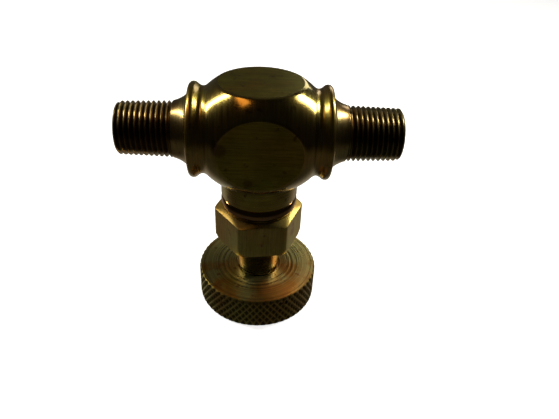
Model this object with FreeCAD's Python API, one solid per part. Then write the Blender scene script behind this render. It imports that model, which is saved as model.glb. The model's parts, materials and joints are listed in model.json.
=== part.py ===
import FreeCAD, Part
import math
import os

# Small brass needle valve with male taper-threaded ends, built as it comes apart on a bench.
# Millimetres. +Z is up, X runs along the pipe, and the valve stands on its hand knob:
# z = 0 is the knob's underside, and the spindle axis is the Z axis.

Vector = FreeCAD.Vector
X_AXIS = Vector(1, 0, 0)
Z_AXIS = Vector(0, 0, 1)
TURN = 2 * math.pi

# Heights on the spindle axis
PIPE_AXIS_Z = 38.1
BOSS_BOTTOM_Z = 25.1
RING_BOTTOM_Z = 22.6
HEX_TOP_Z = 22.35
HEX_BOTTOM_Z = 14.95
KNOB_TOP_Z = 6.9

# Body, turned about the pipe axis
HALF_LENGTH = 25.15
BALL_ARC_RADIUS = 14.2
BALL_RADIUS = 11.65
BALL_END_X = 9.25
FLAT_DISTANCE = 9.4
BOSS_FLAT_DISTANCE = 8.8
COVE_X = 10.2
COVE_RADIUS = 7.75
COVE_EDGE_X = 11.05
COVE_EDGE_RADIUS = 8.19
BEAD_X = 11.85
BEAD_RADIUS = 8.53
BEAD_EDGE_X = 12.5
BEAD_EDGE_RADIUS = 8.1
STEP_X = 12.72
STEP_RADIUS = 6.6
NECK_MIDDLE_X = 13.9
NECK_MIDDLE_RADIUS = 5.67
NECK_X = 15.3
NECK_RADIUS = 5.1
BOSS_RADIUS = 7.3
EDGE_CHAMFER = 0.25

# End threads: R 1/8 taper, 28 per inch, 1 in 16 on diameter
THREAD_PITCH = 25.4 / 28
THREAD_DEPTH = 0.581
THREAD_SMALL_RADIUS = 4.74
THREAD_TAPER = 1 / 32
THREAD_END_CHAMFER = 0.4
THREAD_TURNS = 9
CREST_FLAT = 0.12

# Flow path
PORT_RADIUS = 2.5
PORT_CHAMFER = 0.4
INLET_END_X = 1.4
OUTLET_END_X = 5.0
DRILL_TIP = 1.2
ORIFICE_RADIUS = 1.1
SEAT_Z = 33.7
CHAMBER_RADIUS = 3.2
CHAMBER_BOTTOM_Z = 30.7
CROSS_DRILL_RADIUS = 1.2
BONNET_BORE_RADIUS = 5.05

# Joint ring between the boss and the bonnet
RING_RADIUS = 7.35
RING_BORE_RADIUS = 5.15
RING_EDGE_FILLET = 0.8

# Bonnet
HEX_ACROSS_FLATS = 15.4
HEX_TURN_DEG = 6.5
HEX_CORNER_RADIUS = 8.65
HEX_CHAMFER_RADIUS = 7.0
HEX_CHAMFER_DEG = 22.0
HEX_BEVEL_HEIGHT = 0.6
HEX_BEVEL_WIDTH = 0.7
WASHER_FACE_RADIUS = 6.75
BONNET_NECK_RADIUS = 5.0
BONNET_TOP_Z = 30.3
SPINDLE_NUT_RADIUS = 2.56
PACKING_BORE_RADIUS = 4.3
PACKING_TOP_Z = 21.7

# Packing set, from the inside outwards
STEM_RADIUS = 2.0
STEM_CLEARANCE = 0.05
PACKING_RADIUS = 4.25
PACKING_WASHER_THICKNESS = 0.8
PACKING_RING_THICKNESS = 1.0
PACKING_RING_NAMES = ("inner", "middle", "outer")
FOLLOWER_THICKNESS = 1.2
GLAND_SCREW_RADIUS = 4.25
GLAND_SCREW_RECESS = 0.2
GLAND_SLOT_WIDTH = 1.2
GLAND_SLOT_DEPTH = 0.7

# Spindle
NEEDLE_TIP_Z = 35.3
NEEDLE_TIP_RADIUS = 0.25
NEEDLE_SEAT_RADIUS = 1.05
NEEDLE_BASE_RADIUS = 1.6
SPINDLE_THREAD_RADIUS = 2.5
SPINDLE_THREAD_TOP_Z = 30.3
SPINDLE_THREAD_BOTTOM_Z = 25.3
THREAD_RELIEF = 0.4
SHOULDER_RADIUS = 4.25
SHOULDER_TOP_Z = 14.5
SHOULDER_FILLET = 0.5
SPINDLE_END_Z = 3.0
SPINDLE_TAP_RADIUS = 1.25
SPINDLE_TAP_DEPTH = 5.6

# Knob, its washer and its screw
KNOB_RADIUS = 12.25
KNOB_CHAMFER = 0.35
KNOB_COUNTERBORE_RADIUS = 4.6
KNOB_COUNTERBORE_DEPTH = 0.5
KNOB_HOLE_RADIUS = 2.05
KNOB_RECESS_RADIUS = 4.2
KNOB_RECESS_DEPTH = 2.2
KNOB_WASHER_RADIUS = 3.2
KNOB_WASHER_THICKNESS = 0.5
SCREW_HEAD_RADIUS = 2.3
SCREW_HEAD_HEIGHT = 1.2
SCREW_SHANK_RADIUS = 1.2
SCREW_LENGTH = 5.4
SCREW_SLOT_WIDTH = 0.6
SCREW_SLOT_DEPTH = 0.6


def cylinder(radius, low_z, high_z):
    """Solid cylinder on the spindle axis."""
    return Part.makeCylinder(radius, high_z - low_z, Vector(0, 0, low_z), Z_AXIS)


def tube(outer_radius, inner_radius, low_z, high_z):
    """Ring on the spindle axis."""
    return cylinder(outer_radius, low_z, high_z).cut(cylinder(inner_radius, low_z, high_z))


def cone(low_radius, high_radius, low_z, high_z):
    """Truncated cone on the spindle axis."""
    return Part.makeCone(low_radius, high_radius, high_z - low_z, Vector(0, 0, low_z), Z_AXIS)


def line(start, end):
    """Straight edge of an outline in the XZ plane."""
    return Part.LineSegment(Vector(start[0], 0, start[1]), Vector(end[0], 0, end[1])).toShape()


def arc(start, middle, end):
    """Round edge of an outline in the XZ plane."""
    points = [Vector(point[0], 0, point[1]) for point in (start, middle, end)]
    return Part.Arc(*points).toShape()


def polyline(points):
    """Straight edges through the points, in order."""
    return [line(start, end) for start, end in zip(points, points[1:])]


def revolve_about_pipe(edges):
    """Turns an outline, closed along the X axis, into a solid about the pipe axis."""
    face = Part.Face(Part.Wire(edges))
    solid = face.revolve(Vector(0, 0, 0), X_AXIS, 360)
    solid.translate(Vector(0, 0, PIPE_AXIS_Z))
    return solid


def round_rims(shape, radius, heights, rim_radius):
    """Rounds the circular rims of the given radius at the given heights."""
    rims = [
        edge
        for edge in shape.Edges
        if isinstance(edge.Curve, Part.Circle)
        and abs(edge.Curve.Radius - rim_radius) < 1e-4
        and any(abs(edge.Curve.Center.z - height) < 1e-4 for height in heights)
    ]
    return shape.makeFillet(radius, rims)


def thread_crest_radius(x):
    """Radius over the crests of the taper thread at a distance x from the valve's middle."""
    return THREAD_SMALL_RADIUS + (HALF_LENGTH - x) * THREAD_TAPER


def end_outline():
    """Half of the body's outline beyond the ball, from the cove out to the end face."""
    ball_end_radius = ball_radius_at(BALL_END_X)
    cove_exit = (COVE_EDGE_X, COVE_EDGE_RADIUS)
    bead_exit = (BEAD_EDGE_X, BEAD_EDGE_RADIUS)
    neck_middle = (NECK_MIDDLE_X, NECK_MIDDLE_RADIUS)
    edges = [
        arc((BALL_END_X, ball_end_radius), (COVE_X, COVE_RADIUS), cove_exit),
        arc(cove_exit, (BEAD_X, BEAD_RADIUS), bead_exit),
        line(bead_exit, (STEP_X, STEP_RADIUS)),
        arc((STEP_X, STEP_RADIUS), neck_middle, (NECK_X, NECK_RADIUS)),
    ]
    chamfer_x = HALF_LENGTH - THREAD_END_CHAMFER
    points = [(NECK_X, NECK_RADIUS)]
    for turn in range(THREAD_TURNS):
        groove_x = chamfer_x - (THREAD_TURNS - turn - 0.25) * THREAD_PITCH
        crest = thread_crest_radius(groove_x)
        half_groove = THREAD_PITCH / 2 - CREST_FLAT
        points.append((groove_x - half_groove, crest))
        points.append((groove_x, crest - THREAD_DEPTH))
        points.append((groove_x + half_groove, crest))
    points.append((chamfer_x, thread_crest_radius(chamfer_x)))
    points.append((HALF_LENGTH, THREAD_SMALL_RADIUS - THREAD_END_CHAMFER))
    points.append((HALF_LENGTH, 0))
    return edges + polyline(points)


def ball_radius_at(x):
    """Radius of the ball's barrel-shaped surface at a distance x along the pipe."""
    return BALL_RADIUS - BALL_ARC_RADIUS + math.sqrt(BALL_ARC_RADIUS**2 - x**2)


def turned_half():
    """One half of the turned body, from the middle plane to the end face at +X."""
    ball_arc = arc(
        (0, BALL_RADIUS),
        (BALL_END_X / 2, ball_radius_at(BALL_END_X / 2)),
        (BALL_END_X, ball_radius_at(BALL_END_X)),
    )
    closing = polyline([(HALF_LENGTH, 0), (0, 0), (0, BALL_RADIUS)])
    return revolve_about_pipe([ball_arc] + end_outline() + closing)


def flat_cutters():
    """Blocks that mill the four flats of the ball: top, front, back and boss side."""
    reach = BALL_RADIUS + 1
    size = 2 * reach
    low = PIPE_AXIS_Z - reach
    corners = (
        Vector(-reach, -reach, PIPE_AXIS_Z + FLAT_DISTANCE),
        Vector(-reach, FLAT_DISTANCE, low),
        Vector(-reach, -FLAT_DISTANCE - size, low),
        Vector(-reach, -reach, PIPE_AXIS_Z - BOSS_FLAT_DISTANCE - size),
    )
    return [Part.makeBox(size, size, size, corner) for corner in corners]


def port_cutter(side, depth_x):
    """Blind drilling from one end, with its chamfered mouth and drill tip."""
    direction = Vector(side, 0, 0)
    bottom = Vector(side * depth_x, 0, PIPE_AXIS_Z)
    mouth = Vector(side * (HALF_LENGTH - PORT_CHAMFER), 0, PIPE_AXIS_Z)
    length = HALF_LENGTH - depth_x
    drilling = Part.makeCylinder(PORT_RADIUS, length + 1, bottom, direction)
    tip = Part.makeCone(PORT_RADIUS, 0, DRILL_TIP, bottom, -direction)
    flare_radius = PORT_RADIUS + 2 * PORT_CHAMFER
    flare = Part.makeCone(PORT_RADIUS, flare_radius, 2 * PORT_CHAMFER, mouth, direction)
    return drilling.fuse([tip, flare])


def spindle_side_cutter():
    """Seat orifice, chamber, bonnet bore and the slanted drilling to the outlet."""
    orifice = cylinder(ORIFICE_RADIUS, SEAT_Z - 0.1, PIPE_AXIS_Z)
    chamber = cylinder(CHAMBER_RADIUS, CHAMBER_BOTTOM_Z, SEAT_Z)
    bonnet_bore = cylinder(BONNET_BORE_RADIUS, BOSS_BOTTOM_Z - 1, CHAMBER_BOTTOM_Z)
    start = Vector(OUTLET_END_X + PORT_RADIUS, 0, PIPE_AXIS_Z)
    end = Vector(CHAMBER_RADIUS / 2, 0, CHAMBER_BOTTOM_Z + CROSS_DRILL_RADIUS)
    slant = Part.makeCylinder(CROSS_DRILL_RADIUS, start.distanceToPoint(end), start, end - start)
    return orifice.fuse([chamber, bonnet_bore, slant])


def make_valve_body():
    """Turned and milled body with both threaded ends, the boss and the seat."""
    right = turned_half()
    left = right.mirror(Vector(0, 0, 0), X_AXIS)
    body = right.fuse(left).cut(flat_cutters())
    boss = cylinder(BOSS_RADIUS, BOSS_BOTTOM_Z, PIPE_AXIS_Z)
    body = body.fuse(boss)
    body = body.cut([port_cutter(-1, -INLET_END_X), port_cutter(1, OUTLET_END_X)])
    body = body.cut(spindle_side_cutter()).removeSplitter()
    rim = [
        edge
        for edge in body.Edges
        if isinstance(edge.Curve, Part.Circle)
        and abs(edge.Curve.Radius - BOSS_RADIUS) < 1e-4
        and abs(edge.Curve.Center.z - BOSS_BOTTOM_Z) < 1e-4
    ]
    return body.makeChamfer(EDGE_CHAMFER, rim)


def make_joint_ring():
    """Soft ring, rounded on its outside, that seals the bonnet on the boss."""
    ring = tube(RING_RADIUS, RING_BORE_RADIUS, RING_BOTTOM_Z, BOSS_BOTTOM_Z)
    return round_rims(ring, RING_EDGE_FILLET, (RING_BOTTOM_Z, BOSS_BOTTOM_Z), RING_RADIUS)


def hexagon_wire(across_flats, z):
    """Closed hexagon about the spindle axis, turned a few degrees."""
    corner_radius = across_flats / 2 / math.cos(TURN / 12)
    corners = []
    for index in range(7):
        angle = math.radians(HEX_TURN_DEG) + index * TURN / 6
        x = corner_radius * math.cos(angle)
        y = corner_radius * math.sin(angle)
        corners.append(Vector(x, y, z))
    return Part.makePolygon(corners)


def hexagon_prism():
    """The bonnet's hexagon: corners worn, crown chamfered, a bevel along each side of the crown."""
    narrow = HEX_ACROSS_FLATS - 2 * HEX_BEVEL_WIDTH
    wires = [
        hexagon_wire(HEX_ACROSS_FLATS, HEX_BOTTOM_Z),
        hexagon_wire(HEX_ACROSS_FLATS, HEX_TOP_Z - HEX_BEVEL_HEIGHT),
        hexagon_wire(narrow, HEX_TOP_Z),
    ]
    prism = Part.makeLoft(wires, True, True)
    slope = math.tan(math.radians(HEX_CHAMFER_DEG))
    height = HEX_TOP_Z - HEX_BOTTOM_Z
    crown = cone(HEX_CHAMFER_RADIUS + height / slope, HEX_CHAMFER_RADIUS, HEX_BOTTOM_Z, HEX_TOP_Z)
    worn = cylinder(HEX_CORNER_RADIUS, HEX_BOTTOM_Z, HEX_TOP_Z)
    return prism.common(crown).common(worn)


def make_bonnet():
    """Hexagon bonnet: threaded neck in the boss, spindle nut and packing chamber."""
    washer_face = cylinder(WASHER_FACE_RADIUS, HEX_TOP_Z, RING_BOTTOM_Z)
    neck = cylinder(BONNET_NECK_RADIUS, RING_BOTTOM_Z, BONNET_TOP_Z)
    bonnet = hexagon_prism().fuse([washer_face, neck])
    nut_bore = cylinder(SPINDLE_NUT_RADIUS, PACKING_TOP_Z, BONNET_TOP_Z)
    packing_bore = cylinder(PACKING_BORE_RADIUS, HEX_BOTTOM_Z, PACKING_TOP_Z)
    return bonnet.cut([nut_bore, packing_bore]).removeSplitter()


def packing_layers():
    """Lowest and highest z of each packing piece, working outwards from the shoulder."""
    layers = {}
    top = PACKING_TOP_Z
    thicknesses = [("packing_washer", PACKING_WASHER_THICKNESS)]
    for name in PACKING_RING_NAMES:
        thicknesses.append(("packing_ring_" + name, PACKING_RING_THICKNESS))
    thicknesses.append(("gland_follower", FOLLOWER_THICKNESS))
    for name, thickness in thicknesses:
        layers[name] = (top - thickness, top)
        top -= thickness
    layers["gland_screw"] = (HEX_BOTTOM_Z + GLAND_SCREW_RECESS, top)
    return layers


def make_packing_piece(low_z, high_z):
    """Plain ring that fills the packing chamber around the stem."""
    return tube(PACKING_RADIUS, STEM_RADIUS + STEM_CLEARANCE, low_z, high_z)


def make_gland_screw(low_z, high_z):
    """Ring screw that squeezes the packing, with a driver slot in its outer face."""
    screw = tube(GLAND_SCREW_RADIUS, STEM_RADIUS + STEM_CLEARANCE, low_z, high_z)
    reach = 2 * GLAND_SCREW_RADIUS
    corner = Vector(-reach / 2, -GLAND_SLOT_WIDTH / 2, low_z)
    return screw.cut(Part.makeBox(reach, GLAND_SLOT_WIDTH, GLAND_SLOT_DEPTH, corner))


def make_spindle():
    """Spindle: needle point, threaded part, stem, shoulder and the tapped end in the knob."""
    slope = (NEEDLE_SEAT_RADIUS - NEEDLE_TIP_RADIUS) / (NEEDLE_TIP_Z - SEAT_Z)
    needle_base_z = SEAT_Z - (NEEDLE_BASE_RADIUS - NEEDLE_SEAT_RADIUS) / slope
    shoulder_bottom_z = KNOB_TOP_Z - KNOB_COUNTERBORE_DEPTH
    shoulder = cylinder(SHOULDER_RADIUS, shoulder_bottom_z, SHOULDER_TOP_Z)
    rims = (shoulder_bottom_z, SHOULDER_TOP_Z)
    shoulder = round_rims(shoulder, SHOULDER_FILLET, rims, SHOULDER_RADIUS)
    thread = cylinder(SPINDLE_THREAD_RADIUS, SPINDLE_THREAD_BOTTOM_Z, SPINDLE_THREAD_TOP_Z)
    lead_in_radius = SPINDLE_THREAD_RADIUS - THREAD_RELIEF
    lead_in_top = SPINDLE_THREAD_TOP_Z + THREAD_RELIEF
    spindle = shoulder.fuse([
        cone(NEEDLE_BASE_RADIUS, NEEDLE_TIP_RADIUS, needle_base_z, NEEDLE_TIP_Z),
        cylinder(NEEDLE_BASE_RADIUS, SPINDLE_THREAD_TOP_Z, needle_base_z),
        cone(SPINDLE_THREAD_RADIUS, lead_in_radius, SPINDLE_THREAD_TOP_Z, lead_in_top),
        thread,
        cylinder(STEM_RADIUS, SPINDLE_END_Z, SPINDLE_THREAD_BOTTOM_Z),
    ])
    tapped_hole = cylinder(SPINDLE_TAP_RADIUS, SPINDLE_END_Z, SPINDLE_END_Z + SPINDLE_TAP_DEPTH)
    return spindle.cut(tapped_hole).removeSplitter()


def make_knob():
    """Thick hand knob, counterbored for the spindle's shoulder and recessed for its screw."""
    blank = cylinder(KNOB_RADIUS, 0, KNOB_TOP_Z)
    rims = [edge for edge in blank.Edges if isinstance(edge.Curve, Part.Circle)]
    blank = blank.makeChamfer(KNOB_CHAMFER, rims)
    counterbore = cylinder(KNOB_COUNTERBORE_RADIUS, KNOB_TOP_Z - KNOB_COUNTERBORE_DEPTH, KNOB_TOP_Z)
    hole = cylinder(KNOB_HOLE_RADIUS, 0, KNOB_TOP_Z)
    recess = cylinder(KNOB_RECESS_RADIUS, 0, KNOB_RECESS_DEPTH)
    return blank.cut([counterbore, hole, recess])


def make_knob_washer():
    """Washer between the knob's recess and the screw head."""
    low_z = KNOB_RECESS_DEPTH - KNOB_WASHER_THICKNESS
    return tube(KNOB_WASHER_RADIUS, SCREW_SHANK_RADIUS + STEM_CLEARANCE, low_z, KNOB_RECESS_DEPTH)


def make_knob_screw():
    """Slotted screw that holds the knob on the spindle."""
    seat_z = KNOB_RECESS_DEPTH - KNOB_WASHER_THICKNESS
    head_z = seat_z - SCREW_HEAD_HEIGHT
    head = cylinder(SCREW_HEAD_RADIUS, head_z, seat_z)
    screw = head.fuse(cylinder(SCREW_SHANK_RADIUS, head_z, seat_z + SCREW_LENGTH))
    reach = 2 * SCREW_HEAD_RADIUS
    corner = Vector(-reach / 2, -SCREW_SLOT_WIDTH / 2, head_z)
    slot = Part.makeBox(reach, SCREW_SLOT_WIDTH, SCREW_SLOT_DEPTH, corner)
    return screw.cut(slot).removeSplitter()


def all_pieces():
    """Every piece of the valve, by node name."""
    pieces = {
        "valve_body": make_valve_body(),
        "joint_ring": make_joint_ring(),
        "bonnet": make_bonnet(),
        "spindle": make_spindle(),
        "knob": make_knob(),
        "knob_washer": make_knob_washer(),
        "knob_screw": make_knob_screw(),
    }
    for name, (low_z, high_z) in packing_layers().items():
        if name == "gland_screw":
            pieces[name] = make_gland_screw(low_z, high_z)
        else:
            pieces[name] = make_packing_piece(low_z, high_z)
    return pieces


def main():
    os.makedirs("parts", exist_ok=True)
    for name, shape in all_pieces().items():
        box = shape.BoundBox
        print(name, "valid", shape.isValid(), "solids", len(shape.Solids), "volume", round(shape.Volume, 1),
              "z", round(box.ZMin, 2), round(box.ZMax, 2))
        shape.exportStep("parts/" + name + ".step")


main()
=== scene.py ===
import json
import math

import bmesh
import bpy
import numpy as np
from mathutils import Matrix, Vector


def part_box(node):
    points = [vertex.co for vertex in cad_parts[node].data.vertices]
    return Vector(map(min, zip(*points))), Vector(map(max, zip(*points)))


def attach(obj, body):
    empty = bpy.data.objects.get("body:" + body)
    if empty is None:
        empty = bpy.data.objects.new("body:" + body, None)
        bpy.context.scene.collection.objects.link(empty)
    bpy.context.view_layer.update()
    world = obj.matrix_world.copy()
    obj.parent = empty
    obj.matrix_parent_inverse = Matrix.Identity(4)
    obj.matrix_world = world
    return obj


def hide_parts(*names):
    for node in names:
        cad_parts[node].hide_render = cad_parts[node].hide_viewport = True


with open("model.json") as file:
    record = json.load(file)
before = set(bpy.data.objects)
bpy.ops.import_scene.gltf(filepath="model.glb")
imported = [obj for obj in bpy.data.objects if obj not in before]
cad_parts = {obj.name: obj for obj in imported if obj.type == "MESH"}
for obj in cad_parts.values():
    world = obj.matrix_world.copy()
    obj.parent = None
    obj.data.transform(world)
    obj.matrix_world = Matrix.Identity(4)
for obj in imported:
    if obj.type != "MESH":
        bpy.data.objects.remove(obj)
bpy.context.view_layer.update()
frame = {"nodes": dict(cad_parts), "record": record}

# Small brass needle valve, standing on its hand knob. The shapes below are in millimetres and
# are scaled to metres when a mesh is made.
MM = 0.001
TURN = 2 * math.pi


def box_mm(node):
    """Lowest and highest corner of a CAD node, in millimetres."""
    low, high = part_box(node)
    return low / MM, high / MM


def mount_mm(name):
    """Place of one of the record's mounts, in millimetres."""
    for mount in frame["record"]["mounts"]:
        if mount["name"] == name:
            return Vector(mount["pos_m"]) / MM
    raise ValueError(name)


# Heights and lengths that come from the frame
PIPE_Z = mount_mm("inlet_port").z
HALF_LENGTH = box_mm("valve_body")[1].x
BOSS_BOTTOM = box_mm("valve_body")[0].z
RING_BOTTOM = box_mm("joint_ring")[0].z
HEX_BOTTOM = box_mm("bonnet")[0].z
BONNET_TOP = box_mm("bonnet")[1].z
SPINDLE_END = box_mm("spindle")[0].z
NEEDLE_TIP = box_mm("spindle")[1].z
KNOB_TOP = box_mm("knob")[1].z
KNOB_RADIUS = box_mm("knob")[1].x
RING_RADIUS = box_mm("joint_ring")[1].x
PACKING_TOP = box_mm("packing_washer")[1].z

# Body
BALL_RADIUS = 11.65
BALL_ARC_RADIUS = 14.2
BALL_END_X = 9.25
FLAT_DISTANCE = 9.4
BOSS_FLAT_DISTANCE = 8.8
FLAT_EDGE_ROUNDING = 0.22
CREASE_ROUNDING = 0.26
CREASE_FADE = 0.6
COVE_POINT = (10.2, 7.75)
COVE_EXIT = (11.05, 8.19)
BEAD_POINT = (11.85, 8.53)
BEAD_EXIT = (12.5, 8.1)
STEP = (12.72, 6.6)
NECK_MIDDLE = (13.9, 5.67)
NECK = (15.3, 5.1)
BOSS_RADIUS = 7.3
BOSS_EDGE = 0.3
BOSS_EDGE_MIDDLE = (0.12, 0.07)
SHARP_DEG = 42
PORT_RADIUS = 2.5
PORT_CHAMFER = 0.4
INLET_END_X = 1.4
OUTLET_END_X = 5.0
DRILL_TIP = 1.2

# Which faces count as flat, thread and boss
LEVEL_COSINE = 0.9996
THREAD_MARGIN = 0.1
BOSS_MARGIN = 0.05
FLAT_MARGIN = 0.02

# Bores inside the body, with each bore's end below the pipe axis
BODY_BORE_RADIUS = 5.05
BODY_BORE_DEPTH = 7.4
CHAMBER_RADIUS = 3.2
CHAMBER_DEPTH = 4.4
SEAT_RADIUS = 1.1
DRILLING_RADIUS = 1.2
DRILLING_END_X = 1.6
DRILLING_END_DEPTH = 6.2

# End threads, R 1/8
PITCH = 25.4 / 28
THREAD_DEPTH = 0.581
THREAD_SMALL_RADIUS = 4.74
THREAD_TAPER = 1 / 32
THREAD_END_CHAMFER = 0.4
THREAD_RUN_IN = 0.5
THREAD_RINGS_PER_TURN = 16

# Joint ring
RING_BORE_RADIUS = 5.15
RING_BULGE = 0.95
RING_BULGE_POWER = 2.3

# Bonnet
WASHER_FACE_HEIGHT = 0.25
HEX_TOP = RING_BOTTOM - WASHER_FACE_HEIGHT
HEX_APOTHEM = 7.7
HEX_TURN_DEG = 6.5
HEX_CORNER_RADIUS = 8.65
HEX_CORNER_ROUNDING = 0.12
HEX_CHAMFER_RADIUS = 7.0
HEX_CHAMFER_DEG = 22.0
HEX_BEVEL_HEIGHT = 0.6
HEX_BEVEL_WIDTH = 0.7
HEX_LOWER_CHAMFER = 0.2
HEX_LOWER_SLOPE = 1.2
CROWN_HEIGHT = 1.5
CROWN_ROUNDING = 0.4
WASHER_FACE_RADIUS = 6.75
BONNET_NECK_RADIUS = 5.0
NUT_BORE_RADIUS = 2.56
PACKING_BORE_RADIUS = 4.3

# Spindle
STEM_RADIUS = 2.0
SHOULDER_RADIUS = box_mm("spindle")[1].x
SHOULDER_TOP = HEX_BOTTOM - 0.45
SHOULDER_BOTTOM = KNOB_TOP - 0.5
SHOULDER_FILLET = 0.5
SPINDLE_THREAD_RADIUS = 2.5
SPINDLE_THREAD_DEPTH = 0.4
SPINDLE_THREAD_LENGTH = 5.0
SPINDLE_THREAD_RUNOUT = 0.4
SPINDLE_PITCH = 0.8
TAPPED_RADIUS = 1.25
TAPPED_DEPTH = 5.6
NEEDLE_RADIUS = 1.6
NEEDLE_SHOULDER_LENGTH = 2.7
NEEDLE_POINT_LENGTH = 1.6
NEEDLE_POINT_RADIUS = 1.05
NEEDLE_TIP_RADIUS = 0.25

# Knob
KNOB_CHAMFER = 0.35
KNOB_BORE_RADIUS = 2.05
RECESS_RADIUS = 4.2
RECESS_DEPTH = 2.2
RECESS_CHAMFER = 0.15
COUNTERBORE_RADIUS = 4.6
COUNTERBORE_CHAMFER = 0.1
KNURL_TEETH = 56
KNURL_DEPTH = 0.34
KNURL_PERIOD = 1.9
KNURL_STEEPNESS = 1.25
KNURL_CREST = 0.12

# Stage and camera
FLOOR_HALF_SIZE = 3000.0
LIGHT_AIM = (0, 0, 26)
CAMERA_AZIMUTH_DEG = -2.994
CAMERA_ELEVATION_DEG = 36.293
CAMERA_ROLL_DEG = 2.907
CAMERA_DISTANCE = 104.876
CAMERA_TARGET = (4.134, 0, PIPE_Z - 17.368)
CAMERA_LENS = 33.874

# Materials. Heights of the bump maps are in metres.
MARK_HEIGHT = 0.00003
GRAIN_HEIGHT = 0.00002
# Painted shade: near-black colour painted into the thread roots and knurl pits, the deeper the darker.
GROOVE_SHADE_COLOUR = (0.035, 0.022, 0.008)
FILM_ROUGHNESS = 0.14
BLOT_STRENGTH = 0.8
BLOT_UNEVENNESS = 0.8


# ---- Mesh making -------------------------------------------------------------------------


def smooth_minimum(first, second, width):
    """The smaller of two radii, with the edge between them rounded over the given width."""
    share = np.clip(0.5 + 0.5 * (second - first) / width, 0, 1)
    return second * (1 - share) + first * share - width * share * (1 - share)


def circle_through(first, middle, last):
    """Centre and radius of the circle through three (x, r) points."""
    matrix = np.array([
        [middle[0] - first[0], middle[1] - first[1]],
        [last[0] - first[0], last[1] - first[1]],
    ])
    squares = [
        middle[0] ** 2 + middle[1] ** 2 - first[0] ** 2 - first[1] ** 2,
        last[0] ** 2 + last[1] ** 2 - first[0] ** 2 - first[1] ** 2,
    ]
    centre = np.linalg.solve(matrix, np.array(squares) / 2)
    return centre, math.hypot(first[0] - centre[0], first[1] - centre[1])


def object_from(name, vertices, faces, sharp_deg):
    """Object in metres, outward facing, smooth except at edges sharper than sharp_deg."""
    mesh = bpy.data.meshes.new(name)
    mesh.from_pydata((vertices * MM).tolist(), [], faces)
    piece = bpy.data.objects.new(name, mesh)
    bpy.context.scene.collection.objects.link(piece)
    work = bmesh.new()
    work.from_mesh(mesh)
    if work.calc_volume(signed=True) < 0:
        bmesh.ops.reverse_faces(work, faces=work.faces)
        work.to_mesh(mesh)
    work.free()
    mesh.shade_smooth()
    mesh.set_sharp_from_angle(angle=math.radians(sharp_deg))
    return piece


def turned(name, axial, radii, poles=None, along_x=False, turn=0.0, sharp_deg=35):
    """Solid made of rings about the pipe or the spindle axis.

    axial holds one distance per ring and radii one row per ring. With poles, the axial places of
    the two end points, the solid is closed at both ends; without, the last ring meets the first.
    """
    rings, count = radii.shape
    angle = np.arange(count) * TURN / count + turn
    along = np.repeat(np.asarray(axial, float)[:, None], count, axis=1)
    across = radii * np.cos(angle)
    upward = radii * np.sin(angle)
    if along_x:
        points = np.stack([along, across, upward + PIPE_Z], axis=-1)
    else:
        points = np.stack([across, upward, along], axis=-1)
    vertices = points.reshape(-1, 3)
    ring = np.arange(rings if poles is None else rings - 1)[:, None]
    here = np.arange(count)[None, :]
    there = (here + 1) % count
    onward = (ring + 1) % rings
    quads = np.stack([ring * count + here, ring * count + there,
                      onward * count + there, onward * count + here], axis=-1)
    faces = quads.reshape(-1, 4).tolist()
    if poles is not None:
        for pole, first, flip in ((poles[0], 0, True), (poles[1], (rings - 1) * count, False)):
            place = [pole, 0, PIPE_Z] if along_x else [0, 0, pole]
            vertices = np.vstack([vertices, place])
            tip = len(vertices) - 1
            for index in range(count):
                pair = [first + index, first + (index + 1) % count]
                if flip:
                    pair.reverse()
                faces.append(pair + [tip])
    return object_from(name, vertices, faces, sharp_deg)


def plain_rings(profile, count):
    """Axial places and radii of a profile of (axial, radius) points that is round all over."""
    axial = [point[0] for point in profile]
    radii = np.repeat(np.array([[point[1]] for point in profile], float), count, axis=1)
    return axial, radii


def rounded(start, corner, end, steps=6):
    """Points of a quarter round from start to end that bulges towards the corner."""
    points = []
    for step in range(steps + 1):
        angle = step / steps * TURN / 4
        a, b = 1 - math.sin(angle), 1 - math.cos(angle)
        points.append((
            corner[0] + (start[0] - corner[0]) * a + (end[0] - corner[0]) * b,
            corner[1] + (start[1] - corner[1]) * a + (end[1] - corner[1]) * b,
        ))
    return points


def set_groove_shade(piece, groove_shade):
    """Stores how much painted shade each point gets, from 0 to 1, for the material to read."""
    layer = piece.data.attributes.new("groove_shade", "FLOAT", "POINT")
    layer.data.foreach_set("value", np.clip(groove_shade, 0, 1).astype(np.float32))


def points_mm(piece):
    """The piece's points as an array, in millimetres."""
    points = np.zeros(len(piece.data.vertices) * 3)
    piece.data.vertices.foreach_get("co", points)
    return points.reshape(-1, 3) / MM


def combine(piece, tool, operation, sharp_deg):
    """Joins the tool to the piece or cuts it away, and removes the tool."""
    modifier = piece.modifiers.new(operation, "BOOLEAN")
    modifier.operation = operation
    modifier.solver = "MANIFOLD"
    modifier.object = tool
    depsgraph = bpy.context.evaluated_depsgraph_get()
    mesh = bpy.data.meshes.new_from_object(piece.evaluated_get(depsgraph))
    piece.modifiers.clear()
    old = piece.data
    piece.data = mesh
    bpy.data.meshes.remove(old)
    mesh.name = piece.name
    bpy.data.objects.remove(tool)
    mesh.shade_smooth()
    mesh.set_sharp_from_angle(angle=math.radians(sharp_deg))


# ---- Valve body --------------------------------------------------------------------------


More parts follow.
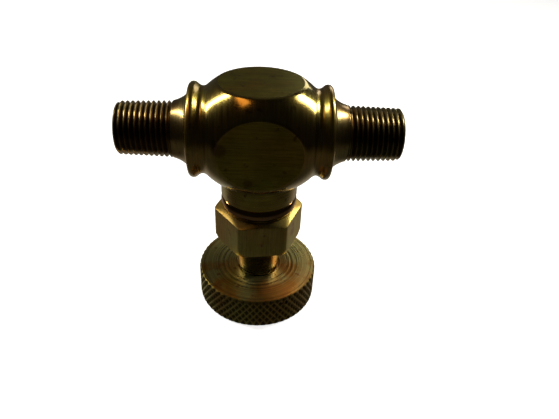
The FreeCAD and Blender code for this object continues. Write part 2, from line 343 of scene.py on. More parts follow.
def body_radius(distance):
    """Radius of the turned body at a distance from its middle, without threads or flats."""
    ball = BALL_RADIUS - BALL_ARC_RADIUS + np.sqrt(np.maximum(BALL_ARC_RADIUS**2 - distance**2, 0))
    ball_end = BALL_RADIUS - BALL_ARC_RADIUS + math.sqrt(BALL_ARC_RADIUS**2 - BALL_END_X**2)
    cove, cove_r = circle_through((BALL_END_X, ball_end), COVE_POINT, COVE_EXIT)
    bead, bead_r = circle_through(COVE_EXIT, BEAD_POINT, BEAD_EXIT)
    cove_line = cove[1] - np.sqrt(np.maximum(cove_r**2 - (distance - cove[0]) ** 2, 0))
    bead_line = bead[1] + np.sqrt(np.maximum(bead_r**2 - (distance - bead[0]) ** 2, 0))
    slope = (STEP[1] - BEAD_EXIT[1]) / (STEP[0] - BEAD_EXIT[0])
    step_line = BEAD_EXIT[1] + (distance - BEAD_EXIT[0]) * slope
    neck, neck_r = circle_through(STEP, NECK_MIDDLE, NECK)
    fillet = neck[1] - np.sqrt(np.maximum(neck_r**2 - (distance - neck[0]) ** 2, 0))
    crest = THREAD_SMALL_RADIUS + (HALF_LENGTH - distance) * THREAD_TAPER
    chamfer = THREAD_SMALL_RADIUS - THREAD_END_CHAMFER + (HALF_LENGTH - distance)
    thread = np.minimum(np.minimum(crest, NECK[1]), chamfer)
    return np.select(
        [distance <= BALL_END_X, distance <= COVE_EXIT[0], distance <= BEAD_EXIT[0],
         distance <= STEP[0], distance <= NECK[0]],
        [ball, cove_line, bead_line, step_line, fillet],
        thread,
    )


def softened_radius(distance):
    """Body radius with the creases between ball, cove and bead rounded away."""
    width = CREASE_ROUNDING * np.clip((BEAD_EXIT[0] - 0.1 - distance) / CREASE_FADE, 0, 1)
    total = np.zeros_like(distance)
    weights = 0.0
    for step in range(-6, 7):
        weight = math.exp(-(step / 3) ** 2 / 2)
        total += weight * body_radius(np.abs(distance + step / 3 * width))
        weights += weight
    return total / weights


def thread_groove(x, angle):
    """Depth of the right-hand end thread's groove below its crests."""
    phase = np.mod(x / PITCH - angle / TURN, 1)
    wave = 1 - np.abs(2 * phase - 1)
    shape = 0.5 * wave + 0.5 * (0.5 - 0.5 * np.cos(math.pi * wave))
    run_in = np.clip((np.abs(x) - NECK[0]) / THREAD_RUN_IN, 0, 1)
    return THREAD_DEPTH * shape * run_in


def body_distances():
    """Distances from the middle at which the body's outside has a ring, from the end inwards."""
    turns = (HALF_LENGTH - NECK[0]) / PITCH
    spans = [
        (HALF_LENGTH, NECK[0], int(turns * THREAD_RINGS_PER_TURN)),
        (NECK[0], STEP[0], 14),
        (STEP[0], BEAD_EXIT[0], 4),
        (BEAD_EXIT[0], COVE_EXIT[0], 26),
        (COVE_EXIT[0], BALL_END_X, 20),
        (BALL_END_X, 0, 96),
    ]
    parts = [np.linspace(start, end, count, endpoint=False) for start, end, count in spans]
    return np.concatenate(parts + [np.zeros(1)])


def turned_body():
    """Turned ball with milled flats, helical end threads and both drilled ports."""
    count = 480
    half = body_distances()
    x = np.concatenate([half, -half[-2::-1]])
    angle = (np.arange(count) * TURN / count)[None, :]
    radii = np.repeat(softened_radius(np.abs(x))[:, None], count, axis=1)
    crest = THREAD_SMALL_RADIUS + (HALF_LENGTH - np.abs(x)[:, None]) * THREAD_TAPER
    threaded = np.abs(x)[:, None] > NECK[0]
    radii = np.where(threaded, np.minimum(radii, crest - thread_groove(x[:, None], angle)), radii)
    flats = ((0, FLAT_DISTANCE), (TURN / 4, FLAT_DISTANCE), (TURN / 2, FLAT_DISTANCE),
             (3 * TURN / 4, BOSS_FLAT_DISTANCE))
    ball = np.abs(x)[:, None] < BALL_END_X
    unlimited = 99.0
    for direction, distance in flats:
        facing = np.cos(angle - direction)
        limit = np.where(facing > 0.5, distance / np.maximum(facing, 0.5), unlimited)
        milled = smooth_minimum(radii, np.broadcast_to(limit, radii.shape), FLAT_EDGE_ROUNDING)
        radii = np.where(ball, milled, radii)
    flare = PORT_RADIUS + PORT_CHAMFER
    ports = ([OUTLET_END_X, HALF_LENGTH - PORT_CHAMFER, HALF_LENGTH], [PORT_RADIUS, PORT_RADIUS, flare])
    inlet = ([-HALF_LENGTH, -HALF_LENGTH + PORT_CHAMFER, INLET_END_X], [flare, PORT_RADIUS, PORT_RADIUS])
    axial = np.concatenate([ports[0], x, inlet[0]])
    first = np.repeat(np.array(ports[1])[:, None], count, axis=1)
    last = np.repeat(np.array(inlet[1])[:, None], count, axis=1)
    radii = np.vstack([first, radii, last])
    poles = (OUTLET_END_X - DRILL_TIP, INLET_END_X + DRILL_TIP)
    return turned("valve_body_brass", axial, radii, poles, along_x=True, sharp_deg=SHARP_DEG)


def turned_tool(name, profile, count=192):
    """Plain turned solid on the spindle axis, closed at both ends."""
    axial, radii = plain_rings(profile, count)
    return turned(name, axial, radii, poles=(axial[0], axial[-1]))


def slanted_drill():
    """Tool for the slanted drilling from the chamber to the outlet port."""
    start = Vector((OUTLET_END_X + PORT_RADIUS, 0, PIPE_Z)) * MM
    end = Vector((DRILLING_END_X, 0, PIPE_Z - DRILLING_END_DEPTH)) * MM
    length = (end - start).length / MM
    drill = turned_tool("slanted_drill", [(0, DRILLING_RADIUS), (length, DRILLING_RADIUS)], 48)
    rotation = (end - start).to_track_quat("Z", "Y").to_matrix().to_4x4()
    drill.data.transform(Matrix.Translation(start) @ rotation)
    return drill


def body_face_kinds(mesh):
    """Material index of each face: 0 ball and beads, 1 milled flat, 2 neck, 3 thread, 4 boss."""
    count = len(mesh.polygons)
    centre = np.zeros(count * 3)
    normal = np.zeros(count * 3)
    mesh.polygons.foreach_get("center", centre)
    mesh.polygons.foreach_get("normal", normal)
    centre = centre.reshape(-1, 3) / MM
    normal = normal.reshape(-1, 3)
    kinds = np.zeros(count, int)
    distance = np.abs(centre[:, 0])
    level = np.maximum(np.abs(normal[:, 1]), np.abs(normal[:, 2])) > LEVEL_COSINE
    kinds[(distance < BALL_END_X) & level] = 1
    kinds[distance > STEP[0]] = 2
    kinds[distance > NECK[0] + THREAD_MARGIN] = 3
    on_boss = np.hypot(centre[:, 0], centre[:, 1]) < BOSS_RADIUS + BOSS_MARGIN
    kinds[on_boss & (centre[:, 2] < PIPE_Z - BOSS_FLAT_DISTANCE - FLAT_MARGIN)] = 4
    return kinds


def make_valve_body(materials):
    """Body piece, with its boss joined on and the passages cut out."""
    body = turned_body()
    boss = turned_tool("boss", [
        (BOSS_BOTTOM, BOSS_RADIUS - BOSS_EDGE),
        (BOSS_BOTTOM + BOSS_EDGE_MIDDLE[0], BOSS_RADIUS - BOSS_EDGE_MIDDLE[1]),
        (BOSS_BOTTOM + BOSS_EDGE, BOSS_RADIUS),
        (PIPE_Z - 5, BOSS_RADIUS),
    ], 384)
    combine(body, boss, "UNION", SHARP_DEG)
    bore_end = PIPE_Z - BODY_BORE_DEPTH
    chamber_end = PIPE_Z - CHAMBER_DEPTH
    cavity = turned_tool("cavity", [
        (BOSS_BOTTOM - 1, BODY_BORE_RADIUS), (bore_end, BODY_BORE_RADIUS),
        (bore_end, CHAMBER_RADIUS), (chamber_end, CHAMBER_RADIUS),
        (chamber_end, SEAT_RADIUS), (PIPE_Z, SEAT_RADIUS),
    ])
    combine(body, cavity, "DIFFERENCE", SHARP_DEG)
    combine(body, slanted_drill(), "DIFFERENCE", SHARP_DEG)
    body.data.materials.clear()
    for material in materials:
        body.data.materials.append(material)
    body.data.polygons.foreach_set("material_index", body_face_kinds(body.data))
    # Painted shade: the thread roots get darker the deeper they lie below the crests.
    points = points_mm(body)
    distance = np.abs(points[:, 0])
    crest = THREAD_SMALL_RADIUS + (HALF_LENGTH - distance) * THREAD_TAPER
    sunk = crest - np.hypot(points[:, 1], points[:, 2] - PIPE_Z)
    set_groove_shade(body, np.where((distance > NECK[0]) & (sunk < 1), sunk / THREAD_DEPTH, 0))
    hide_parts("valve_body")
    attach(body, "valve")
    return body


# ---- Joint ring and bonnet ---------------------------------------------------------------


def make_joint_ring(material):
    """Soft ring with a bulged outside, squeezed between the boss and the bonnet."""
    middle = (RING_BOTTOM + BOSS_BOTTOM) / 2
    half = (BOSS_BOTTOM - RING_BOTTOM) / 2
    profile = [(RING_BOTTOM, RING_BORE_RADIUS)]
    for step in range(25):
        share = -1 + 2 * step / 24
        bulge = (1 - abs(share) ** RING_BULGE_POWER) ** 0.5
        profile.append((middle + half * share, RING_RADIUS - RING_BULGE * (1 - bulge)))
    profile.append((BOSS_BOTTOM, RING_BORE_RADIUS))
    axial, radii = plain_rings(profile, 360)
    ring = turned("joint_ring_brass", axial, radii, sharp_deg=50)
    ring.data.materials.append(material)
    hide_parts("joint_ring")
    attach(ring, "valve")
    return ring


def hexagon_radii(count):
    """Radius of the hexagon at each angle from its first corner, its corners worn round."""
    angle = np.mod(np.arange(count) * TURN / count, TURN / 6) - TURN / 12
    corners = np.full(count, HEX_CORNER_RADIUS + HEX_CORNER_ROUNDING / 4)
    return smooth_minimum(HEX_APOTHEM / np.cos(angle), corners, HEX_CORNER_ROUNDING)


def make_bonnet(material):
    """Hexagon bonnet with its chamfered crown, washer face, neck and bores."""
    count = 576
    sides = hexagon_radii(count)
    lower = np.linspace(HEX_BOTTOM, HEX_TOP - CROWN_HEIGHT, 12)
    upper = np.linspace(HEX_TOP - CROWN_HEIGHT, HEX_TOP, 44)[1:]
    heights = np.concatenate([lower, upper])
    crown = HEX_CHAMFER_RADIUS + (HEX_TOP - heights) / math.tan(math.radians(HEX_CHAMFER_DEG))
    edge = HEX_CORNER_RADIUS - HEX_LOWER_CHAMFER + (heights - HEX_BOTTOM) * HEX_LOWER_SLOPE
    limit = np.minimum(crown, edge)[:, None]
    bevel = np.clip(heights - (HEX_TOP - HEX_BEVEL_HEIGHT), 0, None) / HEX_BEVEL_HEIGHT
    bevelled = sides * (1 - bevel[:, None] * HEX_BEVEL_WIDTH / HEX_APOTHEM)
    hexagon = smooth_minimum(bevelled, limit, CROWN_ROUNDING)
    inner_low = np.full((1, count), PACKING_BORE_RADIUS)
    outer = [(HEX_TOP, WASHER_FACE_RADIUS)]
    outer += [(RING_BOTTOM, WASHER_FACE_RADIUS), (RING_BOTTOM, BONNET_NECK_RADIUS)]
    outer += [(BONNET_TOP, BONNET_NECK_RADIUS), (BONNET_TOP, NUT_BORE_RADIUS)]
    outer += [(PACKING_TOP, NUT_BORE_RADIUS), (PACKING_TOP, PACKING_BORE_RADIUS)]
    axial, radii = plain_rings(outer, count)
    axial = np.concatenate([[HEX_BOTTOM], heights, axial])
    radii = np.vstack([inner_low, hexagon, radii])
    turn = math.radians(HEX_TURN_DEG)
    bonnet = turned("bonnet_brass", axial, radii, turn=turn, sharp_deg=28)
    bonnet.data.materials.append(material)
    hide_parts("bonnet")
    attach(bonnet, "valve")
    return bonnet


# ---- Spindle and knob --------------------------------------------------------------------


def spindle_thread_rings(low, high, count):
    """Rings of the spindle's own helical thread."""
    axial = np.linspace(low, high, int((high - low) / SPINDLE_PITCH * 14))
    angle = (np.arange(count) * TURN / count)[None, :]
    phase = np.mod(axial[:, None] / SPINDLE_PITCH - angle / TURN, 1)
    wave = 1 - np.abs(2 * phase - 1)
    fade = np.clip(np.minimum(axial - low, high - axial) / SPINDLE_THREAD_RUNOUT, 0, 1)[:, None]
    return axial, SPINDLE_THREAD_RADIUS - SPINDLE_THREAD_DEPTH * wave - 0.1 * (1 - fade)


def make_spindle(material):
    """Spindle: needle, thread, stem, polished shoulder and the tapped end in the knob."""
    count = 288
    lip = SHOULDER_FILLET
    thread_start = BONNET_TOP - SPINDLE_THREAD_LENGTH
    below = [(SPINDLE_END + TAPPED_DEPTH, TAPPED_RADIUS), (SPINDLE_END, TAPPED_RADIUS)]
    below += [(SPINDLE_END, STEM_RADIUS)]
    below += [(SHOULDER_BOTTOM, STEM_RADIUS)]
    below += rounded((SHOULDER_BOTTOM, SHOULDER_RADIUS - lip), (SHOULDER_BOTTOM, SHOULDER_RADIUS),
                     (SHOULDER_BOTTOM + lip, SHOULDER_RADIUS))
    below += rounded((SHOULDER_TOP - lip, SHOULDER_RADIUS), (SHOULDER_TOP, SHOULDER_RADIUS),
                     (SHOULDER_TOP, SHOULDER_RADIUS - lip))
    below += [(SHOULDER_TOP, STEM_RADIUS), (thread_start - SPINDLE_THREAD_RUNOUT, STEM_RADIUS)]
    above = [(BONNET_TOP + 0.5, NEEDLE_RADIUS), (NEEDLE_TIP - NEEDLE_SHOULDER_LENGTH, NEEDLE_RADIUS)]
    above += [(NEEDLE_TIP - NEEDLE_POINT_LENGTH, NEEDLE_POINT_RADIUS), (NEEDLE_TIP, NEEDLE_TIP_RADIUS)]
    low_axial, low_radii = plain_rings(below, count)
    thread_axial, thread_radii = spindle_thread_rings(thread_start, BONNET_TOP, count)
    high_axial, high_radii = plain_rings(above, count)
    axial = np.concatenate([low_axial, thread_axial, high_axial])
    radii = np.vstack([low_radii, thread_radii, high_radii])
    spindle = turned("spindle_brass", axial, radii, poles=(axial[0], NEEDLE_TIP))
    spindle.data.materials.append(material)
    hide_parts("spindle")
    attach(spindle, "lift")
    return spindle


def knurl_depth(height, angle):
    """Depth below the rim of the pits between the knurl's crossed ridges."""
    around = angle * KNURL_TEETH / TURN
    first = np.mod(around + height / KNURL_PERIOD, 1)
    second = np.mod(around - height / KNURL_PERIOD, 1)
    pit = np.minimum(1 - np.abs(2 * first - 1), 1 - np.abs(2 * second - 1))
    return KNURL_DEPTH * np.clip(pit * KNURL_STEEPNESS - KNURL_CREST, 0, 1)


def chamfer_limit(height):
    """Radius of the knob's rim at a height, with its chamfers and without the knurl."""
    to_face = np.minimum(height, KNOB_TOP - height)
    return np.minimum(KNOB_RADIUS, KNOB_RADIUS - KNOB_CHAMFER + to_face)


def make_knob(materials):
    """Hand knob: turned faces, chamfers and a diamond-knurled rim."""
    count = KNURL_TEETH * 18
    angle = (np.arange(count) * TURN / count)[None, :]
    heights = np.linspace(0, KNOB_TOP, 70)
    limit = chamfer_limit(heights)[:, None]
    rim = np.minimum(KNOB_RADIUS - knurl_depth(heights[:, None], angle), limit)
    recess = [(RECESS_DEPTH, KNOB_BORE_RADIUS), (RECESS_DEPTH, RECESS_RADIUS)]
    recess += [(RECESS_CHAMFER, RECESS_RADIUS), (0, RECESS_RADIUS + RECESS_CHAMFER)]
    lower, lower_radii = plain_rings(recess, count)
    bore = [(KNOB_TOP, COUNTERBORE_RADIUS + COUNTERBORE_CHAMFER)]
    bore += [(KNOB_TOP - COUNTERBORE_CHAMFER, COUNTERBORE_RADIUS)]
    bore += [(SHOULDER_BOTTOM, COUNTERBORE_RADIUS), (SHOULDER_BOTTOM, KNOB_BORE_RADIUS)]
    upper, upper_radii = plain_rings(bore, count)
    axial = np.concatenate([lower, heights, upper])
    radii = np.vstack([lower_radii, rim, upper_radii])
    knob = turned("knob_brass", axial, radii, sharp_deg=30)
    for material in materials:
        knob.data.materials.append(material)
    kinds = np.zeros(len(knob.data.polygons), int)
    first = len(lower) * count
    kinds[first:first + (len(heights) - 1) * count] = 1
    knob.data.polygons.foreach_set("material_index", kinds)
    # Painted shade: the knurl pits get darker the deeper they lie below the rim.
    points = points_mm(knob)
    sunk = chamfer_limit(points[:, 2]) - np.hypot(points[:, 0], points[:, 1])
    set_groove_shade(knob, np.where(sunk < 1, sunk / KNURL_DEPTH, 0))
    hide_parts("knob")
    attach(knob, "hand_knob")
    return knob


# ---- Materials ---------------------------------------------------------------------------


class Nodes:
    """Short way to build a node tree."""

    def __init__(self, tree):
        self.tree = tree

    def add(self, kind, **settings):
        node = self.tree.nodes.new("ShaderNode" + kind)
        for key, value in settings.items():
            setattr(node, key, value)
        return node

    def link(self, output, target):
        self.tree.links.new(output, target)

    def combined(self, operation, first, second):
        """Two outputs brought together by a maths operation."""
        node = self.add("Math", operation=operation)
        self.link(first, node.inputs[0])
        self.link(second, node.inputs[1])
        return node.outputs["Value"]

    def eased(self, value, low, high, first, second):
        """An output that goes smoothly from first to second as the value goes from low to high."""
        node = self.add("MapRange", interpolation_type="SMOOTHSTEP")
        sockets = ("From Min", "From Max", "To Min", "To Max")
        for socket, number in zip(sockets, (low, high, first, second)):
            node.inputs[socket].default_value = number
        self.link(value, node.inputs["Value"])
        return node.outputs["Result"]


class Surface(Nodes):
    """One material's node tree, with the patterns that the metals are made of."""

    def __init__(self, name):
        self.material = bpy.data.materials.new(name)
        self.material.use_nodes = True
        super().__init__(self.material.node_tree)
        self.shader = self.tree.nodes["Principled BSDF"]
        self.place = self.add("TexCoord").outputs["Object"]

    def stretched(self, scale):
        """Object coordinates, scaled by axis so that a noise on them runs in streaks."""
        mapping = self.add("Mapping")
        mapping.inputs["Scale"].default_value = scale
        self.link(self.place, mapping.inputs["Vector"])
        return mapping.outputs["Vector"]

    def noise(self, vector, scale, detail=3.0, roughness=0.55):
        node = self.add("TexNoise")
        node.inputs["Scale"].default_value = scale
        node.inputs["Detail"].default_value = detail
        node.inputs["Roughness"].default_value = roughness
        self.link(vector, node.inputs["Vector"])
        return node.outputs["Fac"]

    def rings(self, scale):
        """Noise that depends only on the distance from the spindle axis."""
        flat = self.stretched((1, 1, 0))
        length = self.add("VectorMath", operation="LENGTH")
        self.link(flat, length.inputs[0])
        node = self.add("TexNoise", noise_dimensions="1D")
        node.inputs["Scale"].default_value = scale
        node.inputs["Detail"].default_value = 4.0
        self.link(length.outputs["Value"], node.inputs["W"])
        return node.outputs["Fac"]

    def ramp(self, value, low, high, first=(0, 0, 0, 1), second=(1, 1, 1, 1)):
        node = self.add("ValToRGB")
        node.color_ramp.elements[0].position = low
        node.color_ramp.elements[1].position = high
        node.color_ramp.elements[0].color = first
        node.color_ramp.elements[1].color = second
        self.link(value, node.inputs["Fac"])
        return node.outputs["Color"]

    def multiplied(self, factor, first, second):
        """The first colour output multiplied by the second, as far as the fixed factor says."""
        node = self.add("Mix", data_type="RGBA", blend_type="MULTIPLY")
        node.inputs["Factor"].default_value = factor
        self.link(first, node.inputs[6])
        self.link(second, node.inputs[7])
        return node.outputs[2]

    def mix(self, factor, first, second):
        """Blend of two colours, each a colour or an output, by a factor output."""
        node = self.add("Mix", data_type="RGBA")
        self.link(factor, node.inputs["Factor"])
        for socket, colour in ((node.inputs[6], first), (node.inputs[7], second)):
            if isinstance(colour, tuple):
                socket.default_value = (*colour, 1)
            else:
                self.link(colour, socket)
        return node.outputs[2]

    def spread(self, value, low, high):
        """A 0 to 1 output spread over the given range."""
        node = self.add("MapRange")
        node.inputs["To Min"].default_value = low
        node.inputs["To Max"].default_value = high
        self.link(value, node.inputs["Value"])
        return node.outputs["Result"]

    def blot(self, centre, radius):
        """Soft, uneven round patch at a place in millimetres, from 0 outside to its strength inside."""
        away = self.add("VectorMath", operation="DISTANCE")
        away.inputs[1].default_value = [value * MM for value in centre]
        self.link(self.place, away.inputs[0])
        uneven = self.add("Math", operation="MULTIPLY_ADD")
        uneven.inputs[1].default_value = BLOT_UNEVENNESS * MM
        self.link(self.noise(self.place, 700, 3), uneven.inputs[0])
        self.link(away.outputs["Value"], uneven.inputs[2])
        reach = (radius + BLOT_UNEVENNESS / 2) * MM
        return self.eased(uneven.outputs["Value"], reach * 0.6, reach, BLOT_STRENGTH, 0)

    def towards_ends(self, ball_value, bead_value):
        """One value on the ball and another from the coves outwards."""
        split = self.add("SeparateXYZ")
        self.link(self.place, split.inputs[0])
        away = self.add("Math", operation="ABSOLUTE")
        self.link(split.outputs["X"], away.inputs[0])
        low = (BALL_END_X - 0.8) * MM
        high = (BALL_END_X + 1) * MM
        return self.eased(away.outputs["Value"], low, high, ball_value, bead_value)

    def bump(self, height, strength, distance, normal=None):
        node = self.add("Bump")
        node.inputs["Strength"].default_value = strength
        node.inputs["Distance"].default_value = distance
        self.link(height, node.inputs["Height"])
        if normal is not None:
            self.link(normal, node.inputs["Normal"])
        return node.outputs["Normal"]


def tool_marks(nodes, lines):
    """Fine marks of the tool, which run the way that lines says."""
    if lines == "face":
        nodes.shader.inputs["Anisotropic"].default_value = 0.7
        nodes.shader.inputs["Anisotropic Rotation"].default_value = 0.0
        tangent = nodes.add("Tangent", direction_type="RADIAL", axis="Z")
        nodes.link(tangent.outputs["Tangent"], nodes.shader.inputs["Tangent"])
        return nodes.rings(2000)
    scale = {"x": (0.06, 1, 1), "pipe": (1, 0.04, 0.04), "spindle": (0.04, 0.04, 1),
             "drawn": (1, 1, 0.05)}[lines]
    return nodes.noise(nodes.stretched(scale), 4200, 4, 0.6)


def toned(nodes, colour):
    """The colour, with a slow drift between a greenish and a reddish tone."""
    slow = nodes.noise(nodes.place, 85, 2)
    drift = nodes.ramp(slow, 0.4, 0.6, (0.86, 1.0, 0.9, 1), (1.0, 0.80, 0.66, 1))
    return nodes.multiplied(0.75, colour, drift)


def brass(name, clean, tarnish, stain, roughness, lines, line_bump=0.25, tarnish_scale=190,
          tarnish_range=(0.38, 0.66), line_shade=0.55, groove_shaded=False, blots=(), dull_end=0.0, film=0.0):
    """Machined brass with tarnish, stains and tool marks, and painted shade in its grooves where its
    mesh says so.

    lines is "x" for marks along the pipe, "drawn" for marks along the spindle, "pipe" and
    "spindle" for marks around those axes, and "face" for rings on a face across the spindle axis.

    blots are round stains, each a centre in millimetres and a radius. dull_end is how much
    rougher the metal is from the coves outwards. film is the weight of a clear film, which
    whitens the highlights.
    """
    nodes = Surface(name)
    cloudy = nodes.noise(nodes.place, tarnish_scale, 5)
    spots = nodes.noise(nodes.place, 620, 3)
    marks = tool_marks(nodes, lines)
    colour = nodes.mix(nodes.ramp(cloudy, *tarnish_range), clean, tarnish)
    colour = toned(nodes, nodes.mix(nodes.ramp(spots, 0.62, 0.74), colour, stain))
    # Painted shade: the thread roots and knurl pits are darkened as far as the mesh says.
    if groove_shaded:
        groove_shade_amount = nodes.add("Attribute", attribute_name="groove_shade").outputs["Fac"]
        colour = nodes.mix(nodes.spread(groove_shade_amount, 0.0, 0.62), colour, GROOVE_SHADE_COLOUR)
    for centre, radius in blots:
        colour = nodes.mix(nodes.blot(centre, radius), colour, stain)
    shade = nodes.ramp(marks, 0.33, 0.66, (0.50, 0.46, 0.40, 1))
    nodes.link(nodes.multiplied(line_shade, colour, shade), nodes.shader.inputs["Base Color"])
    nodes.shader.inputs["Metallic"].default_value = 1.0
    nodes.shader.inputs["Coat Weight"].default_value = film
    nodes.shader.inputs["Coat Roughness"].default_value = FILM_ROUGHNESS
    rough = nodes.combined("ADD", nodes.spread(cloudy, *roughness), nodes.spread(marks, -0.05, 0.07))
    if dull_end:
        rough = nodes.combined("ADD", rough, nodes.towards_ends(0.0, dull_end))
    nodes.link(rough, nodes.shader.inputs["Roughness"])
    fine = nodes.bump(marks, line_bump, MARK_HEIGHT)
    nodes.link(nodes.bump(spots, 0.12, MARK_HEIGHT, fine), nodes.shader.inputs["Normal"])
    return nodes.material


def steel(name):
    """Zinc-plated steel for the screw and its washer."""
    nodes = Surface(name)
    cloudy = nodes.noise(nodes.place, 900, 4)
    colour = nodes.mix(nodes.ramp(cloudy, 0.35, 0.7), (0.52, 0.53, 0.50), (0.38, 0.38, 0.33))
    nodes.link(colour, nodes.shader.inputs["Base Color"])
    nodes.shader.inputs["Metallic"].default_value = 1.0
    nodes.link(nodes.spread(cloudy, 0.28, 0.45), nodes.shader.inputs["Roughness"])
    nodes.link(nodes.bump(cloudy, 0.15, GRAIN_HEIGHT), nodes.shader.inputs["Normal"])
    return nodes.material


def ptfe(name):
    """White packing plastic, faintly mottled."""
    nodes = Surface(name)
    cloudy = nodes.noise(nodes.place, 1400, 3)
    colour = nodes.mix(nodes.ramp(cloudy, 0.3, 0.7), (0.82, 0.82, 0.80), (0.72, 0.71, 0.67))
    nodes.link(colour, nodes.shader.inputs["Base Color"])
    nodes.link(nodes.spread(cloudy, 0.42, 0.58), nodes.shader.inputs["Roughness"])
    nodes.link(nodes.bump(cloudy, 0.2, GRAIN_HEIGHT), nodes.shader.inputs["Normal"])
    return nodes.material


def dress_cad_nodes():
    """Materials of the CAD nodes that stay as they are."""
    turned_brass = brass("inner_brass", (0.50, 0.38, 0.15), (0.33, 0.24, 0.09), (0.20, 0.11, 0.04),
                         (0.24, 0.38), "spindle")
    white = ptfe("packing_ptfe")
    zinc = steel("screw_zinc")
    kinds = {
        "packing_washer": turned_brass, "gland_follower": turned_brass, "gland_screw": turned_brass,
        "packing_ring_inner": white, "packing_ring_middle": white, "packing_ring_outer": white,
        "knob_washer": zinc, "knob_screw": zinc,
    }
    for node, material in kinds.items():
        mesh = frame["nodes"][node].data
        mesh.materials.clear()
        mesh.materials.append(material)


# ---- Stage, light and camera -------------------------------------------------------------


def make_floor():
    """Plain pale floor that shows soft shade but isn't mirrored in the metal.

    The valve stands on its knob, so the floor stays against the knob as the spindle moves.
    """
    mesh = bpy.data.meshes.new("floor")
    half = FLOOR_HALF_SIZE * MM
    corners = [(-half, -half, 0), (half, -half, 0), (half, half, 0), (-half, half, 0)]
    mesh.from_pydata(corners, [], [(0, 1, 2, 3)])
    floor = bpy.data.objects.new("floor", mesh)
    bpy.context.scene.collection.objects.link(floor)
    nodes = Surface("floor_pale")
    grain = nodes.noise(nodes.place, 60, 2)
    colour = nodes.mix(grain, (0.86, 0.86, 0.85), (0.90, 0.90, 0.89))
    nodes.link(colour, nodes.shader.inputs["Base Color"])
    nodes.shader.inputs["Roughness"].default_value = 0.9
    nodes.shader.inputs["Emission Color"].default_value = (1, 1, 1, 1)
    nodes.shader.inputs["Emission Strength"].default_value = 0.84
    mesh.materials.append(nodes.material)
    floor.visible_glossy = False
    floor.visible_diffuse = False
    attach(floor, "lift")


def area_light(name, place, size, power, colour=(1, 1, 1)):
    """Soft rectangular light at a place in millimetres, aimed at the middle of the valve."""
    light = bpy.data.lights.new(name, "AREA")
    light.shape = "RECTANGLE"
    light.size = size[0] * MM
    light.size_y = size[1] * MM
    light.energy = power
    light.color = colour
    lamp = bpy.data.objects.new(name, light)
    bpy.context.scene.collection.objects.link(lamp)
    lamp.location = Vector(place) * MM
    aim = Vector(LIGHT_AIM) * MM - lamp.location
    lamp.rotation_euler = aim.to_track_quat("-Z", "Y").to_euler()


def make_lights():
    """Strip lights at the left and right, a weak warm one above and a small one behind."""
    area_light("left", (-185, 58, 160), (30, 165), 0.33, (1.0, 0.96, 0.84))
    area_light("right", (185, 80, 160), (56, 125), 0.42, (1.0, 0.96, 0.84))
    area_light("above", (-82, -25, 235), (80, 40), 0.03, (1.0, 0.52, 0.18))
    area_light("back_right", (50, 110, 85), (50, 40), 0.014, (1.0, 0.93, 0.82))


def make_world():
    """Pale surroundings for the eye. The metal mirrors a bright floor behind and a dim front."""
    world = bpy.data.worlds.new("studio")
    bpy.context.scene.world = world
    world.use_nodes = True
    nodes = Nodes(world.node_tree)
    nodes.tree.nodes.clear()
    direction = nodes.add("SeparateXYZ")
    nodes.link(nodes.add("TexCoord").outputs["Generated"], direction.inputs[0])
    depth = direction.outputs["Y"]
    height = direction.outputs["Z"]
    behind = nodes.eased(depth, 0.12, 0.68, 0, 0.26)
    below = nodes.eased(height, -0.15, -0.4, 0, 1)
    front = nodes.eased(height, -0.2, -0.5, 0.008, 0.055)
    back = nodes.eased(depth, 0.1, 0.6, 0, 0.048)
    floor = nodes.combined("MULTIPLY", behind, below)
    strength = nodes.combined("ADD", floor, nodes.combined("ADD", front, back))
    mirrored = nodes.add("Background")
    mirrored.inputs["Color"].default_value = (1.0, 0.93, 0.76, 1)
    nodes.link(strength, mirrored.inputs["Strength"])
    seen = nodes.add("Background")
    seen.inputs["Color"].default_value = (0.87, 0.87, 0.865, 1)
    blend = nodes.add("MixShader")
    nodes.link(nodes.add("LightPath").outputs["Is Camera Ray"], blend.inputs[0])
    nodes.link(mirrored.outputs[0], blend.inputs[1])
    nodes.link(seen.outputs[0], blend.inputs[2])
    nodes.link(blend.outputs[0], nodes.add("OutputWorld").inputs["Surface"])


def make_camera():
    """Camera above and in front of the valve, rolled slightly."""
    azimuth = math.radians(CAMERA_AZIMUTH_DEG)
    elevation = math.radians(CAMERA_ELEVATION_DEG)
    roll = math.radians(CAMERA_ROLL_DEG)
    back = Vector((
        math.sin(azimuth) * math.cos(elevation),
        -math.cos(azimuth) * math.cos(elevation),
        math.sin(elevation),
    ))
    right = Vector((math.cos(azimuth), math.sin(azimuth), 0))
    up = back.cross(right)
    side = right * math.cos(roll) + up * math.sin(roll)
    top = up * math.cos(roll) - right * math.sin(roll)
    data = bpy.data.cameras.new("camera")
    data.sensor_fit = "HORIZONTAL"
    data.sensor_width = 36
    data.lens = CAMERA_LENS
    data.clip_start = 0.005
    data.clip_end = 10
    camera = bpy.data.objects.new("camera", data)
    bpy.context.scene.collection.objects.link(camera)
    turn = Matrix((side, top, back)).transposed().to_4x4()
    place = Vector(CAMERA_TARGET) + back * CAMERA_DISTANCE
    camera.matrix_world = Matrix.Translation(place * MM) @ turn
    bpy.context.scene.camera = camera


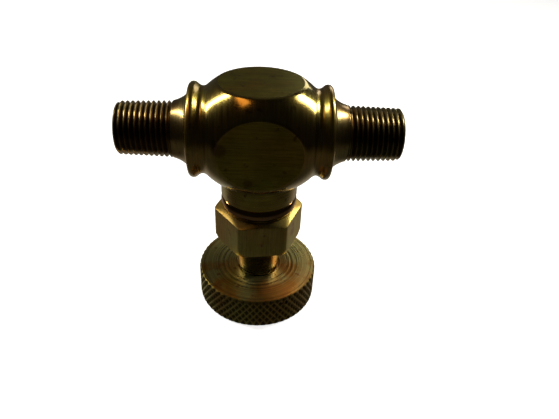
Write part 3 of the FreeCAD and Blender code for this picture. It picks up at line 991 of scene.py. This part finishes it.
def body_materials():
    """Materials of the body, in the order that body_face_kinds counts them."""
    blots = (((-6.8, -FLAT_DISTANCE, PIPE_Z + 1.2), 1.6), ((-2.1, -FLAT_DISTANCE, PIPE_Z - 5.2), 1.1))
    ball = brass("ball_brass", (0.50, 0.37, 0.08), (0.32, 0.21, 0.04), (0.14, 0.06, 0.02),
                 (0.10, 0.20), "pipe", 0.12, blots=blots, dull_end=0.13, film=0.55)
    flat = brass("flat_brass", (0.42, 0.34, 0.05), (0.31, 0.25, 0.03), (0.17, 0.10, 0.02),
                 (0.26, 0.40), "x", 0.4, line_shade=0.75, blots=blots)
    neck = brass("neck_brass", (0.46, 0.37, 0.15), (0.33, 0.24, 0.09), (0.22, 0.11, 0.04),
                 (0.16, 0.28), "pipe", 0.25, film=0.1)
    thread = brass("thread_brass", (0.40, 0.33, 0.15), (0.25, 0.19, 0.08), (0.10, 0.05, 0.02),
                   (0.20, 0.38), "pipe", 0.3, groove_shaded=True)
    boss = brass("boss_brass", (0.50, 0.39, 0.09), (0.33, 0.24, 0.05), (0.14, 0.07, 0.02),
                 (0.18, 0.32), "spindle", 0.3, line_shade=0.7)
    return [ball, flat, neck, thread, boss]


def bonnet_material():
    """Drawn brass of the hexagon, worn in two places."""
    worn = (((7.2, -4.2, HEX_BOTTOM + 3.6), 1.6), ((-2.4, -7.7, HEX_BOTTOM + 1.6), 0.35))
    return brass("bonnet_brass", (0.68, 0.54, 0.18), (0.57, 0.43, 0.12), (0.42, 0.22, 0.10),
                 (0.34, 0.50), "drawn", 0.2, line_shade=0.6, blots=worn)


def knob_materials():
    """Materials of the knob: its turned faces, then its knurled rim."""
    face = brass("knob_face_brass", (0.66, 0.54, 0.22), (0.58, 0.30, 0.07), (0.36, 0.16, 0.05),
                 (0.22, 0.36), "face", 1.0, 130, (0.45, 0.57), line_shade=0.85)
    knurl = brass("knob_knurl_brass", (0.70, 0.56, 0.18), (0.48, 0.36, 0.10), (0.14, 0.07, 0.02),
                  (0.22, 0.38), "spindle", 0.2, groove_shaded=True)
    return [face, knurl]


def main():
    """Makes the pieces, the stage, the lights and the camera."""
    ring = brass("ring_brass", (0.44, 0.27, 0.12), (0.26, 0.13, 0.06), (0.12, 0.045, 0.03),
                 (0.08, 0.18), "spindle", 0.2)
    spindle = brass("spindle_brass", (0.27, 0.23, 0.13), (0.18, 0.13, 0.08), (0.12, 0.06, 0.03),
                    (0.22, 0.34), "spindle", 0.15)
    make_valve_body(body_materials())
    make_joint_ring(ring)
    make_bonnet(bonnet_material())
    make_spindle(spindle)
    make_knob(knob_materials())
    dress_cad_nodes()
    make_floor()
    make_lights()
    make_world()
    make_camera()
    bpy.context.scene.view_settings.view_transform = "Standard"


main()
